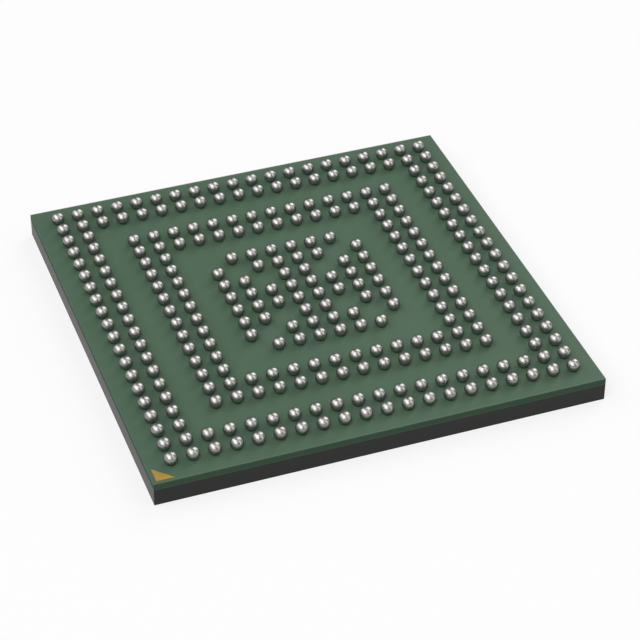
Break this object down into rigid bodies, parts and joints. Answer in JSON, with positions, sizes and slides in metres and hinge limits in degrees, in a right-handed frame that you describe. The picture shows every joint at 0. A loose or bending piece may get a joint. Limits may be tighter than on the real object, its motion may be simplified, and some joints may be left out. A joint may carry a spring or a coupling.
{
  "type": "ball grid array chip",
  "caption": "Square surface-mount chip with a black moulded cap, a thin green laminate carrier, a gold corner triangle and a grid of solder balls in concentric rings.",
  "frame": {"origin": "centre of the flat marking face of the moulded cap, on which the chip lies", "axes": "+Z from the marking face to the solder balls, +X along ball columns 1 to 20, +Y from ball row A to ball row Y"},
  "size_m": [0.017, 0.017, 0.0014],
  "materials": {
    "mold_compound": "black silica-filled epoxy, fine grain, sawn sides",
    "silicon": "ground silicon, dull grey",
    "silver_resin": "silver-filled resin",
    "copper": "plain copper",
    "aluminium_pads": "sputtered aluminium",
    "gold": "soft gold plating over nickel and copper",
    "plug_resin": "hole-filling resin",
    "solder_mask": "green liquid photo-imaged solder mask, satin",
    "laminate": "glass cloth in resin, sawn edges",
    "solder": "reflowed tin, silver and copper solder, bright satin"
  },
  "bodies": {
    "root": {"mold_cap": "mold_compound", "silicon_die": "silicon", "die_attach": "silver_resin", "die_paddle": "copper", "die_bond_pads": "aluminium_pads", "bond_fingers": "gold", "bond_wires_far": "gold", "bond_wires_left": "gold", "bond_wires_near": "gold", "bond_wires_right": "gold", "signal_vias": "copper", "thermal_vias": "copper", "via_plugs": "plug_resin", "die_side_mask": "solder_mask", "ball_side_mask": "solder_mask", "laminate_core": "laminate", "ball_pads": "copper", "pin_one_mark": "gold", "balls_row_a": "solder", "balls_row_b": "solder", "balls_row_c": "solder", "balls_row_d": "solder", "balls_row_e": "solder", "balls_row_f": "solder", "balls_row_g": "solder", "balls_row_h": "solder", "balls_row_j": "solder", "balls_row_k": "solder", "balls_row_l": "solder", "balls_row_m": "solder", "balls_row_n": "solder", "balls_row_p": "solder", "balls_row_r": "solder", "balls_row_t": "solder", "balls_row_u": "solder", "balls_row_v": "solder", "balls_row_w": "solder", "balls_row_y": "solder"}
  },
  "joints": []
}
